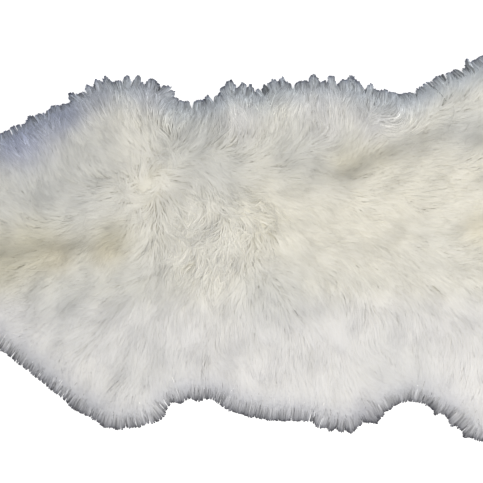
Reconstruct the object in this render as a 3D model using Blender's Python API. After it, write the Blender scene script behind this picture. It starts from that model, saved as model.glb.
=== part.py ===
"""Sheepskin rug: one long-wool pelt lying flat, its skin side on the floor.

X runs along the pelt from the neck (-X) to the rump (+X), Y across it, and Z up from the floor.
The origin is on the floor, in the middle of the pelt's bounding box.
The wool is one lumpy body with a flat underside. At its rim it parts into pointed locks that lie on the floor.
"""

import math
from collections import namedtuple

import bmesh
import bpy
import numpy as np
from mathutils import Vector, geometry, noise

MM = 0.001

# Driving sizes, in millimetres.
PILE_HEIGHT = 45.0  # the wool's mean height over the pelt's middle
RIM_HEIGHT = 8.0  # the wool's height between two locks, where the rim meets the floor
TIP_HEIGHT = 2.4  # the height of a lock's blunt point
SHOULDER_WIDTH = 58.0  # the way in from the rim over which the wool rises to full height
SHOULDER_ROUNDNESS = 0.62  # under 1 bulges the rim outwards

# The rim's locks.
LOCK_COUNT = 208
LOCK_PITCH_SPREAD = 0.34  # how much one lock's width differs from the next
LOCK_LENGTH_SPREAD = 0.6
LOCK_LEAN = 0.42  # how far a point leans sideways, as a share of the lock's length
ROOT_DEPTH_SPREAD = 2.2  # the notches between locks lie this far in or out

# Rows of points behind each lock: the way in from the rim, and how far its ridge stands over its sides.
LockRow = namedtuple("LockRow", "inset ridge")
LOCK_ROWS = (LockRow(13.0, 5.0), LockRow(29.0, 4.0))

# The surface inside the rim.
GRID_STEP = 13.2
GRID_JITTER = 0.22  # of a step
GRID_INSET = 41.0  # the grid starts this far in from the rim
CURVE_STEPS = 12  # points that the outline's curve gets between two stations

# Tufts: staples of wool that overlap like shingles, with a ridge and a blunt end.
TUFT_STEP = 43.0
TUFT_JITTER = 0.38
TUFT_LENGTH = 66.0
TUFT_HALF_WIDTH = 21.0
TUFT_HEIGHT = 11.0
TUFT_ROOT = 0.45  # the share of a tuft's length that lies behind its place on the grid
TUFT_LEAST = 0.6  # the flattest tuft, as a share of the highest
TUFT_PROFILE = ((0.0, 0.0), (0.72, 1.0), (0.9, 0.8), (1.0, 0.0))  # share of its length, share of its height
SWELL_HEIGHT = 5.0  # broad rises and dips under the tufts
SWELL_SIZE = 105.0

# The lay of the wool: it fans out from a point on the spine, and drifts from that by a slow noise.
FAN_X = -133.0  # where wool that runs to the neck parts from wool that runs to the rump
FAN_SQUEEZE = 0.45  # under 1 turns the fan towards the two long sides
DRIFT_SIZE = 150.0
DRIFT_ANGLE = math.radians(76)

# Where the slow noises are read, so that each is another pattern.
DRIFT_LAYER = 3.7
SWELL_LAYER = 8.1

SEED = 11
NORMAL_REACH = 14.0  # the rim's direction is read over this far on each side of a point
SHARP_ANGLE = math.radians(60)
WOOL_COLOUR = (0.83, 0.81, 0.74, 1.0)

# The rim, station by station: along the pelt, across it, and how long the locks are there.
Station = namedtuple("Station", "name x y lock")
FAR_EDGE = (
    Station("neck_corner", -522, 92, 9),
    Station("neck", -478, 152, 10),
    Station("neck_side", -408, 190, 8),
    Station("shoulder_rise", -336, 226, 9),
    Station("shoulder", -262, 263, 10),
    Station("elbow", -176, 259, 10),
    Station("elbow_notch", -146, 235, 7),
    Station("fore_flank", -106, 229, 9),
    Station("rib_rise", -62, 250, 15),
    Station("rib_notch", -20, 247, 9),
    Station("rib", -2, 261, 15),
    Station("belly", 88, 262, 14),
    Station("belly_end", 166, 253, 13),
    Station("hind_flank", 222, 247, 6),
    Station("hip_rise", 276, 274, 8),
    Station("hip", 342, 300, 10),
    Station("haunch", 402, 305, 10),
    Station("haunch_corner", 468, 262, 10),
    Station("rump_corner", 524, 168, 10),
)
NEAR_EDGE = (
    Station("neck_corner", -514, -72, 8),
    Station("neck", -462, -124, 8),
    Station("neck_side", -402, -177, 7),
    Station("shoulder_rise", -322, -240, 7),
    Station("shoulder", -248, -283, 8),
    Station("elbow", -186, -277, 7),
    Station("elbow_notch", -148, -244, 7),
    Station("fore_flank", -92, -241, 7),
    Station("rib_rise", -44, -260, 7),
    Station("belly", 56, -275, 8),
    Station("belly_end", 124, -285, 11),
    Station("thigh_notch", 178, -256, 9),
    Station("hind_flank", 218, -238, 7),
    Station("hip_rise", 276, -264, 8),
    Station("hip", 332, -303, 10),
    Station("haunch", 396, -312, 10),
    Station("haunch_corner", 466, -268, 10),
    Station("rump_corner", 524, -172, 10),
)
NECK_END = Station("neck_end", -540, 6, 10)
RUMP_END = Station("rump_end", 548, -4, 11)

# Partings (below zero) and crowns (above zero) that run from one point to another.
Form = namedtuple("Form", "name x0 y0 x1 y1 rise half_width")
FORMS = (
    Form("neck_parting", -470, 2, -262, 14, -13, 27),
    Form("shoulder_dimple", -372, 104, -340, 112, -7, 24),
    Form("withers_dimple", -268, 112, -258, 122, -8, 19),
    Form("swirl_dimple", -196, 74, -176, 82, -8, 20),
    Form("swirl_crown", -112, 88, -74, 30, 6, 24),
    Form("rib_parting", 14, 158, 118, 128, -12, 24),
    Form("flank_parting", 118, 128, 232, 184, -14, 22),
    Form("hip_parting", 232, 184, 410, 200, -10, 23),
    Form("back_crown", 70, 62, 360, 96, 7, 42),
    Form("belly_crown", 60, -124, 140, -104, 6, 36),
    Form("haunch_crown", 330, -150, 420, -120, 6, 48),
)


def closed_curve(stations):
    """A smooth closed curve through the stations: rows of x, y and lock length."""
    knots = np.array([(s.x, s.y, s.lock) for s in stations], float)
    before, after, second = (np.roll(knots, n, axis=0) for n in (1, -1, -2))
    t = np.arange(CURVE_STEPS)[:, None, None] / CURVE_STEPS
    curve = 0.5 * (
        2 * knots
        + (after - before) * t
        + (2 * before - 5 * knots + 4 * after - second) * t**2
        + (3 * knots - before - 3 * after + second) * t**3
    )
    return curve.transpose(1, 0, 2).reshape(-1, 3)


def lengths_along(curve):
    """How far along the closed curve each point is, ending with the whole length."""
    steps = np.roll(curve, -1, axis=0) - curve
    return np.concatenate([[0.0], np.cumsum(np.hypot(steps[:, 0], steps[:, 1]))])


def at_lengths(curve, wanted):
    """The curve's x, y and lock length at these distances along it."""
    along = lengths_along(curve)
    looped = np.vstack([curve, curve[:1]])
    wanted = np.mod(wanted, along[-1])
    return np.stack([np.interp(wanted, along, looped[:, k]) for k in range(3)], axis=1)


def outward_at(curve, wanted):
    """Unit vectors across the rim that point away from the pelt. The curve runs clockwise."""
    along = (at_lengths(curve, wanted + NORMAL_REACH) - at_lengths(curve, wanted - NORMAL_REACH))[:, :2]
    across = np.stack([-along[:, 1], along[:, 0]], axis=1)
    return across / np.linalg.norm(across, axis=1)[:, None]


def rim_points(curve, rng):
    """The notches between locks, each lock's point, and the rows of points behind them."""
    whole = lengths_along(curve)[-1]
    widths = 1 + LOCK_PITCH_SPREAD * rng.uniform(-1, 1, LOCK_COUNT)
    edges = np.concatenate([[0.0], np.cumsum(widths)])[:-1] * whole / widths.sum()
    middles = edges + 0.5 * widths * whole / widths.sum()

    notch_in = ROOT_DEPTH_SPREAD * rng.uniform(-1, 1, LOCK_COUNT)
    notches = at_lengths(curve, edges)[:, :2] + outward_at(curve, edges) * notch_in[:, None]

    base, out = at_lengths(curve, middles), outward_at(curve, middles)
    reach = base[:, 2] * (1 + LOCK_LENGTH_SPREAD * rng.uniform(-1, 1, LOCK_COUNT))
    side = np.stack([out[:, 1], -out[:, 0]], axis=1)
    lean = LOCK_LEAN * reach * rng.uniform(-1, 1, LOCK_COUNT)
    tips = base[:, :2] + out * reach[:, None] + side * lean[:, None]

    rows = []
    for row in LOCK_ROWS:
        for places, ridge in ((edges, -row.ridge), (middles, row.ridge)):
            inner = at_lengths(curve, places)[:, :2] - outward_at(curve, places) * row.inset
            rows.append((inner, ridge / 2))
    return notches, tips, rows


def distance_to_rim(points, curve):
    """How far each point is from the closed curve."""
    start, end = curve[:, :2], np.roll(curve[:, :2], -1, axis=0)
    way = end - start
    square = (way**2).sum(1)
    nearest = np.empty(len(points))
    for i, point in enumerate(points):
        share = np.clip(((point - start) * way).sum(1) / square, 0, 1)
        gap = start + share[:, None] * way - point
        nearest[i] = math.sqrt((gap**2).sum(1).min())
    return nearest


def is_inside(points, curve):
    """Whether each point lies inside the closed curve, by counting the edges that a ray crosses."""
    start, end = curve[:, :2], np.roll(curve[:, :2], -1, axis=0)
    inside = np.zeros(len(points), bool)
    for (x0, y0), (x1, y1) in zip(start, end):
        spans = (y0 > points[:, 1]) != (y1 > points[:, 1])
        if spans.any():
            crossing = x0 + (points[:, 1] - y0) * (x1 - x0) / (y1 - y0)
            inside ^= spans & (points[:, 0] < crossing)
    return inside


def jittered_grid(step, jitter, curve, rng):
    """Points of a triangular grid over the pelt, each moved a little off its place."""
    low, high = curve[:, :2].min(0), curve[:, :2].max(0)
    rows = np.arange(low[1], high[1], step * math.sqrt(3) / 2)
    points = [
        (x + (step / 2 if n % 2 else 0), y)
        for n, y in enumerate(rows)
        for x in np.arange(low[0], high[0], step)
    ]
    points = np.array(points)
    points += step * jitter * rng.uniform(-1, 1, points.shape)
    return points[is_inside(points, curve)]


def slow_noise(points, size, layer):
    """A smooth pattern from -1 to 1, whose rises lie about this far apart."""
    return np.array([noise.noise(Vector((x / size, y / size, layer))) for x, y in points])


def lay_angles(points):
    """The way that the wool lies at each point, as an angle from +X."""
    fan = np.arctan2(points[:, 1], FAN_SQUEEZE * (points[:, 0] - FAN_X))
    return fan + DRIFT_ANGLE * slow_noise(points, DRIFT_SIZE, DRIFT_LAYER)


def form_rise(points):
    """The height that the named partings and crowns add."""
    total = np.zeros(len(points))
    for form in FORMS:
        start, way = np.array((form.x0, form.y0)), np.array((form.x1 - form.x0, form.y1 - form.y0))
        share = np.clip(((points - start) @ way) / (way @ way), 0, 1)
        gap = np.linalg.norm(points - start - share[:, None] * way, axis=1)
        total += form.rise * np.exp(-((gap / form.half_width) ** 2))
    return total


def tuft_rise(points, centres, angles, heights):
    """The highest tuft over each point: a ridge that climbs towards its blunt end."""
    highest = np.zeros(len(points))
    for centre, angle, height in zip(centres, angles, heights):
        offset = points - centre
        near = np.flatnonzero((np.abs(offset) < TUFT_LENGTH).all(1))
        ahead = offset[near] @ (math.cos(angle), math.sin(angle)) / TUFT_LENGTH + TUFT_ROOT
        aside = offset[near] @ (-math.sin(angle), math.cos(angle)) / TUFT_HALF_WIDTH
        climb = np.interp(ahead, *zip(*TUFT_PROFILE))
        ridge = np.clip(1 - aside**2, 0, 1)
        highest[near] = np.maximum(highest[near], height * climb * ridge)
    return highest


def wool_height(points, depth, rng, curve):
    """The wool's height over each point, from its distance to the rim and the forms above."""
    inward = np.clip(depth / SHOULDER_WIDTH, 0, 1)
    shoulder = (1 - (1 - inward) ** 2) ** SHOULDER_ROUNDNESS
    centres = jittered_grid(TUFT_STEP, TUFT_JITTER, curve, rng)
    heights = TUFT_HEIGHT * rng.uniform(TUFT_LEAST, 1.0, len(centres))
    tufts = tuft_rise(points, centres, lay_angles(centres), heights)
    swells = 2 * SWELL_HEIGHT * slow_noise(points, SWELL_SIZE, SWELL_LAYER)
    relief = tufts - TUFT_HEIGHT / 2 + swells + form_rise(points)
    return RIM_HEIGHT + (PILE_HEIGHT - RIM_HEIGHT) * shoulder + relief * inward


def triangulated(plan, border_count):
    """Triangles that fill the border, through all of the plan's points, counter-clockwise."""
    border = list(range(border_count))
    points, _, faces, sources, _, _ = geometry.delaunay_2d_cdt(
        [Vector(p) for p in plan], [], [border], 1, 1e-6
    )
    source = [s[0] for s in sources]
    turned = []
    for face in faces:
        a, b, c = (points[i] for i in face)
        order = face if (b - a).cross(c - a) > 0 else face[::-1]
        turned.append([source[i] for i in order])
    return turned


def pelt_mesh():
    """The whole pelt as one closed mesh."""
    rng = np.random.default_rng(SEED)
    curve = closed_curve([NECK_END, *FAR_EDGE, RUMP_END, *reversed(NEAR_EDGE)])
    notches, tips, rows = rim_points(curve, rng)
    border = np.stack([notches, tips], axis=1).reshape(-1, 2)
    grid = jittered_grid(GRID_STEP, GRID_JITTER, curve, rng)
    grid = grid[distance_to_rim(grid, curve) > GRID_INSET]
    inner = np.vstack([points for points, _ in rows] + [grid])
    ridges = np.concatenate([np.full(len(points), ridge) for points, ridge in rows] + [np.zeros(len(grid))])

    depth = distance_to_rim(inner, curve)
    heights = wool_height(inner, depth, rng, curve) + ridges
    border_heights = np.tile((RIM_HEIGHT, TIP_HEIGHT), LOCK_COUNT)
    plan = np.vstack([border, inner])
    plan -= (border.min(0) + border.max(0)) / 2

    top = np.column_stack([plan, np.concatenate([border_heights, heights])])
    floor = np.column_stack([plan[: len(border)], np.zeros(len(border))])
    faces = triangulated(plan, len(border))
    first = len(top)
    count = len(border)
    faces += [[first + i for i in face[::-1]] for face in triangulated(plan[:count], count)]
    for i in range(count):
        after = (i + 1) % count
        faces.append([i, after, first + after, first + i])

    mesh = bpy.data.meshes.new("fleece")
    mesh.from_pydata((np.vstack([top, floor]) * MM).tolist(), [], faces)
    shape = bmesh.new()
    shape.from_mesh(mesh)
    bmesh.ops.recalc_face_normals(shape, faces=shape.faces)
    bmesh.ops.triangulate(shape, faces=shape.faces)
    shape.to_mesh(mesh)
    shape.free()
    return mesh


def wool_material():
    material = bpy.data.materials.new("ivory_wool")
    material.use_nodes = True
    shader = material.node_tree.nodes["Principled BSDF"]
    shader.inputs["Base Color"].default_value = WOOL_COLOUR
    shader.inputs["Roughness"].default_value = 0.9
    shader.inputs["Metallic"].default_value = 0.0
    shader.inputs["Sheen Weight"].default_value = 0.3
    return material


def main():
    for thing in list(bpy.data.objects):
        bpy.data.objects.remove(thing, do_unlink=True)
    mesh = pelt_mesh()
    mesh.materials.append(wool_material())
    mesh.shade_smooth()
    mesh.set_sharp_from_angle(angle=SHARP_ANGLE)
    fleece = bpy.data.objects.new("fleece", mesh)
    bpy.context.scene.collection.objects.link(fleece)
    size = [f"{side / MM:.0f}" for side in fleece.dimensions]
    print("fleece:", " x ".join(size), "mm,", len(mesh.polygons), "triangles")


main()
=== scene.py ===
# %% [markdown]
# # A long-wool sheepskin rug
# A sheepskin rug is one tanned skin with its own wool still on it. The skin lies flat on the floor, and
# nothing of it shows from above: what the eye meets is wool, in thousands of fibres that keep together
# in locks. So this lesson builds three things: the skin, a dense underwool, and the long wool over it.

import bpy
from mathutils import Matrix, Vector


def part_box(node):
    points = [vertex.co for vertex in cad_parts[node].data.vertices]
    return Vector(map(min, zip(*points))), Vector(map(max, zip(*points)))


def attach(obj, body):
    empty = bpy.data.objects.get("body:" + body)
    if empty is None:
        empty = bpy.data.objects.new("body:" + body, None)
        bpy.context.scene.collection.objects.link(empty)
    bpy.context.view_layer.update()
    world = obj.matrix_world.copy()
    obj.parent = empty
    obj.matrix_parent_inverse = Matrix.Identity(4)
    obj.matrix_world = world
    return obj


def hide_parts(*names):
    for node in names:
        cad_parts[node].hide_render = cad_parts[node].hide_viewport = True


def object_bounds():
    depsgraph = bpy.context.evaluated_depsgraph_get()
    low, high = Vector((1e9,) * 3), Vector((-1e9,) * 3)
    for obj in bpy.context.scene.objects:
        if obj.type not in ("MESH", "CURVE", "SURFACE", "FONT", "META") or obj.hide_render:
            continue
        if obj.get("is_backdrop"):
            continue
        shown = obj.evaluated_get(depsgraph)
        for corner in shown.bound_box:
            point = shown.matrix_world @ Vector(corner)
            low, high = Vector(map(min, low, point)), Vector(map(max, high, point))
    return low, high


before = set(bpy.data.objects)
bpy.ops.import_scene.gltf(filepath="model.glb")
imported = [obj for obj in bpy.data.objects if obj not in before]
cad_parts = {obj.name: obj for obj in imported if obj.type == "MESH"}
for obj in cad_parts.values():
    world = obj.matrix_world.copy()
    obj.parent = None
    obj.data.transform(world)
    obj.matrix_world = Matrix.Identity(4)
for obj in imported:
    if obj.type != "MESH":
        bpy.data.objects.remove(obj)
cad_low, cad_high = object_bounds()
print("the solid spans", [round(side * 1000) for side in cad_high - cad_low], "mm")

# %% [markdown]
# ## Units and chance
# Blender works in metres, and wool is measured in millimetres, so one factor turns one into the other.
# Every random draw comes from a generator with a fixed seed, one for the fibres and one for each soft
# chart, so the rug grows the same wool on each run.

# %% Units and chance
import math
from collections import namedtuple

import bmesh
import bpy
import numpy as np
from mathutils import Vector
from mathutils.bvhtree import BVHTree

MM = 0.001
CM = 10 * MM
TINY = 1e-6  # keeps a division from failing where a length is zero
chance = np.random.default_rng(7)
print("a millimetre is", MM, "of Blender's units")

# %% [markdown]
# ## The solid's top as a chart
# The solid already has the pelt's outline, its lumps and its partings, and the wool has to follow all of
# them. Every step of every fibre could drop a ray on the solid, but that makes over half a million rays.
# So the height is read once into a chart: a grid over the floor, with a ray dropped on each cell. After
# that, any number of fibres can ask for the height under them with plain arithmetic, which is quick.

# %% A grid over the floor
CELL = 4 * MM
MARGIN = 40 * MM

solid_low, solid_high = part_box("fleece")
grid_x = np.arange(solid_low.x - MARGIN, solid_high.x + MARGIN, CELL)
grid_y = np.arange(solid_low.y - MARGIN, solid_high.y + MARGIN, CELL)
cell_x, cell_y = np.meshgrid(grid_x, grid_y)
print("the chart has", cell_x.size, "cells")


# %% Read a chart
GRID_END = 1.001  # reading stops this many cells before the end, where a cell still has a neighbour


def read(chart, x, y):
    """The chart's value at these places, blended from the four nearest cells."""
    u = np.clip((x - grid_x[0]) / CELL, 0, len(grid_x) - GRID_END)
    v = np.clip((y - grid_y[0]) / CELL, 0, len(grid_y) - GRID_END)
    i, j = u.astype(int), v.astype(int)
    across, up = u - i, v - j
    near = chart[j, i] * (1 - across) + chart[j, i + 1] * across
    far = chart[j + 1, i] * (1 - across) + chart[j + 1, i + 1] * across
    return near * (1 - up) + far * up


print("half-way between the first two columns, x is", round(read(cell_x, grid_x[0] + CELL / 2, 0.0), 3))


# %% Soften a chart
BELL_END = 3  # a bell curve is next to nothing beyond three times its reach


def bell(reach, spacing):
    """Weights of a bell curve that reaches about this far, for points with this spacing."""
    count = math.ceil(BELL_END * reach / spacing)
    weights = np.exp(-0.5 * (np.arange(-count, count + 1) * spacing / reach) ** 2)
    return weights / weights.sum()


def softened(chart, reach):
    """The chart, blurred over this distance along both axes."""
    weights = bell(reach, CELL)
    edge = len(weights) // 2
    for axis in (0, 1):
        chart = np.apply_along_axis(
            lambda row: np.convolve(np.pad(row, edge, mode="edge"), weights, "valid"), axis, chart
        )
    return chart


print("the weights of a blur over one cell are", bell(CELL, CELL).round(2))

# %% Drop a ray on each cell
RAY_START = 1.0  # a metre up, far above the wool
DOWN = Vector((0, 0, -1))
FACET_BLUR = 7 * MM  # just enough to hide the solid's flat facets

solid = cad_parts["fleece"].data
tree = BVHTree.FromPolygons([v.co for v in solid.vertices], [p.vertices for p in solid.polygons])
solid_top = np.zeros(cell_x.shape)
for place in np.ndindex(*cell_x.shape):
    hit = tree.ray_cast(Vector((cell_x[place], cell_y[place], RAY_START)), DOWN)[0]
    if hit:
        solid_top[place] = hit.z

wool_top = softened(solid_top, FACET_BLUR)
slope_y, slope_x = np.gradient(wool_top, CELL)
print("the wool is up to", round(wool_top.max() / MM), "mm deep")

# %% [markdown]
# ## The rim
# The rim is where a sheepskin is recognised: its wool runs out past the skin in pointed locks. The outline
# could be drawn here a second time, but the solid has it already, as a zigzag with one point for each
# lock. Its corners are read from the mesh in order. The points tell how far the rim's wool reaches, and a
# softened copy of the line says what lies inside.

# %% The solid's rim, corner by corner
SAME_SPOT = 0.01 * MM  # corners closer than this are one
FLOOR_LEVEL = 0.1 * MM  # a face that stays below this lies on the floor


def rim_neighbours(shape):
    """For each corner of the rim on the floor, the two corners beside it."""
    floor_faces = {face for face in shape.faces if all(v.co.z < FLOOR_LEVEL for v in face.verts)}
    beside = {}
    for edge in shape.edges:
        if len(floor_faces.intersection(edge.link_faces)) == 1:
            one, other = edge.verts
            beside.setdefault(one, []).append(other)
            beside.setdefault(other, []).append(one)
    return beside


def rim_corners(mesh):
    """The corners of the rim on the floor, counter-clockwise, as rows of x and y."""
    shape = bmesh.new()
    shape.from_mesh(mesh)
    bmesh.ops.remove_doubles(shape, verts=shape.verts, dist=SAME_SPOT)
    beside = rim_neighbours(shape)
    loop = [next(iter(beside))]
    loop.append(beside[loop[0]][0])
    while loop[-1] != loop[0]:
        one, other = beside[loop[-1]]
        loop.append(other if one == loop[-2] else one)
    corners = np.array([v.co.xy for v in loop[:-1]])
    shape.free()
    after = np.roll(corners, -1, axis=0)
    turn = (corners[:, 0] * after[:, 1] - corners[:, 1] * after[:, 0]).sum()
    return corners if turn > 0 else corners[::-1]


corners = rim_corners(solid)
print("the rim has", len(corners), "corners")

# %% A softened line round the pelt
LINE_STEP = 5 * MM
RIM_BLUR = 11 * MM


def evenly(corners, step):
    """The closed line through the corners, as points about this far apart."""
    looped = np.vstack([corners, corners[:1]])
    along = np.concatenate([[0], np.cumsum(np.hypot(*np.diff(looped, axis=0).T))])
    wanted = np.linspace(0, along[-1], int(along[-1] / step), endpoint=False)
    return np.stack([np.interp(wanted, along, looped[:, k]) for k in (0, 1)], axis=1)


def smoothed_line(line, reach):
    """The closed line, blurred along its own length."""
    weights = bell(reach, LINE_STEP)
    edge = len(weights) // 2
    padded = np.vstack([line[-edge:], line, line[:edge]])
    return np.stack([np.convolve(padded[:, k], weights, "valid") for k in (0, 1)], axis=1)


rim = smoothed_line(evenly(corners, LINE_STEP), RIM_BLUR)
rim_length = np.hypot(*(np.roll(rim, -1, axis=0) - rim).T).sum()
print("the rim is", round(rim_length, 2), "m long")

# %% How far inside the rim each cell lies
INWARD_BLUR = 8 * MM


def depth_chart(line):
    """Each cell's distance to the closed line, below zero outside it."""
    nearest = np.full(cell_x.shape, np.inf)
    inside = np.zeros(cell_x.shape, bool)
    for (x0, y0), (x1, y1) in zip(line, np.roll(line, -1, axis=0)):
        way_x, way_y = x1 - x0, y1 - y0
        share = ((cell_x - x0) * way_x + (cell_y - y0) * way_y) / (way_x**2 + way_y**2)
        share = np.clip(share, 0, 1)
        nearest = np.minimum(nearest, np.hypot(x0 + share * way_x - cell_x, y0 + share * way_y - cell_y))
        if y0 != y1:
            crossed = (y0 > cell_y) != (y1 > cell_y)
            inside ^= crossed & (cell_x < x0 + (cell_y - y0) * way_x / way_y)
    return np.where(inside, nearest, -nearest)


depth = depth_chart(rim)
inward_y, inward_x = np.gradient(softened(depth, INWARD_BLUR), CELL)
print("the pelt covers", round((depth > 0).sum() * CELL**2, 3), "square metres")

# %% [markdown]
# ## The lay of the wool
# Wool lies the way it was last combed. On this pelt it runs out to the rim on all sides, lies along the
# back towards the rump, and turns in a swirl over the shoulders. In Blender's window, hair is combed with
# a brush. In a script, a table says which way the comb went at the places that matter, and every cell
# between them takes a blend of its nearest entries. Near the rim the way straight out takes over.
# Headings are in degrees, 0 towards the rump and 90 to the far flank.

# %% Where the comb went, in millimetres and degrees
Comb = namedtuple("Comb", "x y heading")
COMBED = (
    # The neck, which fans out round the end.
    Comb(-500, 10, 180), Comb(-490, 90, 150), Comb(-490, -80, 212),
    Comb(-404, 160, 122), Comb(-340, 192, 122), Comb(-404, 62, 164), Comb(-340, 56, 170),
    Comb(-340, 22, 176), Comb(-404, -34, 192), Comb(-372, -96, 218), Comb(-292, -80, 216),
    Comb(-244, -34, 204), Comb(-340, -160, 236), Comb(-276, -190, 248),
    # The far shoulder, which fans from the neck's side to the notch behind it.
    Comb(-364, 112, 116), Comb(-300, 136, 126), Comb(-276, 206, 130), Comb(-228, 224, 110),
    Comb(-188, 232, 95), Comb(-166, 244, 80), Comb(-228, 156, 136), Comb(-192, 180, 105),
    Comb(-268, 116, 138), Comb(-264, 84, 176), Comb(-300, 60, 184), Comb(-260, 10, 200), Comb(-228, 52, 224),
    Comb(-214, 10, 226), Comb(-212, 128, 128),
    # The swirl over the shoulders, which pours round and down to the near side.
    Comb(-142, 148, 14), Comb(-140, 200, 74), Comb(-118, 208, 72), Comb(-94, 112, -36),
    Comb(-164, 96, -24), Comb(-140, 80, -50), Comb(-167, 60, -76), Comb(-118, 72, -64),
    Comb(-167, 12, -90), Comb(-116, 24, -80), Comb(-76, 56, -58), Comb(-52, 24, -80),
    Comb(-36, 0, -96), Comb(-106, -38, -128), Comb(-60, -48, -114), Comb(-196, -80, -124),
    # The near flank, combed straight down from the back.
    Comb(-244, -144, -120), Comb(-148, -144, -98), Comb(-68, -128, -94), Comb(-36, -80, -90),
    Comb(36, -112, -88), Comb(92, -96, -84), Comb(124, -144, -84), Comb(184, -190, -62),
    Comb(252, -144, -74), Comb(300, -208, -84), Comb(204, -80, -44), Comb(284, -48, -30),
    # The back, combed towards the rump.
    Comb(-4, 38, -10), Comb(-2, 70, -3), Comb(-2, 100, 28), Comb(-36, 128, 4), Comb(44, 80, 2),
    Comb(92, 56, -8), Comb(92, 16, -26), Comb(166, 10, -38), Comb(190, 40, -8), Comb(108, -16, -36),
    Comb(18, -24, -36), Comb(124, 96, 5), Comb(206, 96, 4), Comb(268, 112, 6), Comb(246, 164, 9),
    Comb(220, 138, 8), Comb(316, 16, -4), Comb(132, 144, 14), Comb(76, 160, -16), Comb(12, 160, 38),
    # The far flank, combed straight out.
    Comb(-60, 214, 88), Comb(-36, 168, 80), Comb(44, 192, 86), Comb(-4, 192, 88), Comb(92, 206, 96),
    Comb(124, 232, 88), Comb(156, 232, 98), Comb(172, 214, -56), Comb(220, 224, 82), Comb(270, 198, 6),
    Comb(270, 240, 85), Comb(316, 208, 12), Comb(316, 248, 84),
    # The rump, which fans out round the end.
    Comb(396, 16, 0), Comb(470, 12, 0), Comb(396, 190, 44), Comb(396, -160, -46), Comb(480, 110, 34),
    Comb(480, -110, -34),
)
COMB_REACH = 28 * MM


def comb_chart():
    """The wool's way over each cell, as two charts: its x part and its y part."""
    way_x, way_y = np.zeros(cell_x.shape), np.zeros(cell_x.shape)
    for comb in COMBED:
        gap = np.hypot(cell_x - comb.x * MM, cell_y - comb.y * MM)
        pull = 1 / (1 + (gap / COMB_REACH) ** 2) ** 2
        way_x += pull * math.cos(math.radians(comb.heading))
        way_y += pull * math.sin(math.radians(comb.heading))
    return way_x, way_y


# %% Helpers for soft changes
def clouds(size, seed):
    """A chart of soft random patches of about this size, mostly from -2 to 2."""
    patches = softened(np.random.default_rng(seed).normal(size=cell_x.shape), size / 2)
    return patches / patches.std()


def rise(value, start, end):
    """0 before start, 1 after end, and a smooth step between them."""
    share = np.clip((value - start) / (end - start), 0, 1)
    return share * share * (3 - 2 * share)


def turned(x, y, angle):
    """These directions, turned counter-clockwise by this angle."""
    return x * np.cos(angle) - y * np.sin(angle), x * np.sin(angle) + y * np.cos(angle)


print("a quarter of the way up, a smooth step has risen to", rise(0.25, 0, 1))

# %% Turn to straight out near the rim, and wander a little everywhere
RIM_TURN_DEPTH = 85 * MM
RIM_TURN = 0.8  # how much of the way is straight out, right at the rim
WANDER_SIZE = 38 * MM
WANDER = math.radians(13)

comb_x, comb_y = comb_chart()
comb_size = np.hypot(comb_x, comb_y)
inward_size = np.hypot(inward_x, inward_y) + TINY
straight_out = RIM_TURN * rise(depth, RIM_TURN_DEPTH, 0)
lay_x = comb_x / comb_size * (1 - straight_out) - inward_x / inward_size * straight_out
lay_y = comb_y / comb_size * (1 - straight_out) - inward_y / inward_size * straight_out
lay_x, lay_y = turned(lay_x, lay_y, WANDER * clouds(WANDER_SIZE, seed=3))
print("the comb's way is known at", len(COMBED), "places")

# %% Where the wool parts, and where it is sleek
FAN_BLUR = 8 * MM
PARTS = (12, 40)  # how fast the ways fan out where the wool starts to part, and where it has parted
TUMBLES = (18, 50)  # the same for where it falls at random
TUMBLE_DEPTH = (45 * MM, 80 * MM)
SLEEK_SIDE = (-30 * MM, -110 * MM)

lay_size = np.hypot(lay_x, lay_y)
fanning = np.gradient(lay_x / lay_size, CELL, axis=1) + np.gradient(lay_y / lay_size, CELL, axis=0)
fanning = softened(fanning, FAN_BLUR)
parting = rise(fanning, *PARTS)
tumbling = rise(fanning, *TUMBLES) * rise(depth, *TUMBLE_DEPTH)
sleek = rise(cell_y, *SLEEK_SIDE)  # the near flank lies smooth
print("the wool parts over", round(parting[depth > 0].sum() * (CELL / CM) ** 2), "square centimetres")

# %% [markdown]
# ## The colour of the wool
# Ivory wool isn't one colour. The grease that stays in it yellows the back and the partings, and the ends
# at the flanks are bleached and cooler. One colour in the material would miss that, and a painted picture
# would need a flat unwrapping of every fibre. So each fibre carries its own tone along its length, in a
# colour attribute: neighbours differ, and a fibre is darker at its root. Colours are written as sRGB hex
# values, as in any paint program, and one function turns them to the linear values that Blender uses.
# Some of these tones are painted shade: the greys at the rim and in the duller places stand for wool in
# shade.


# %% Colours
def linear(hex_colour):
    """A linear RGB triple from an sRGB hex value."""
    channels = np.array([int(hex_colour[k : k + 2], 16) for k in (1, 3, 5)]) / 255
    return np.where(channels <= 0.04045, channels / 12.92, ((channels + 0.055) / 1.055) ** 2.4)


IVORY = "#e0dfd8"  # plain wool, wherever nothing else pulls
CREAM = "#e5e2d5"  # the back, which keeps a little grease
FRESH = "#ecebe5"  # lifted by the comb, so that clean wool shows
BLEACHED = "#e5e5e7"  # ends that lay in the sun
MILKY = "#dddde0"  # the near flank
YOLK = "#c3bea6"  # the grease itself, which wool growers call yolk
STAINED = "#ddd5bb"  # wool beside it
DULL_SHADE = "#c2c4c3"  # painted shade, for places where the wool shades itself
RIM_SHADE_GREY = "#b2b5c1"  # painted shade on the near rim, close to the floor, and at a few places on the far rim
DEEP_RIM_SHADE = "#8b8c97"  # painted shade, darkest at one place on the near rim
COOL_SHADE = "#939cbf"  # painted cool shade on the far side of the neck
FAR_RIM_SHADE = "#c9d3df"  # painted shade along the far rim
print("ivory is", linear(IVORY).round(3), "in linear values")

# %% Whole zones: where each one lies, its colour, and how strongly it pulls
NEAR_SIDE = (40 * MM, -40 * MM)
RIM_REACH = 31 * MM
BACK_LINE, BACK_REACH = 65 * MM, 80 * MM
BACK_START = (-90 * MM, 0)
FLANK_SIDE = (-60 * MM, -150 * MM)

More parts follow.
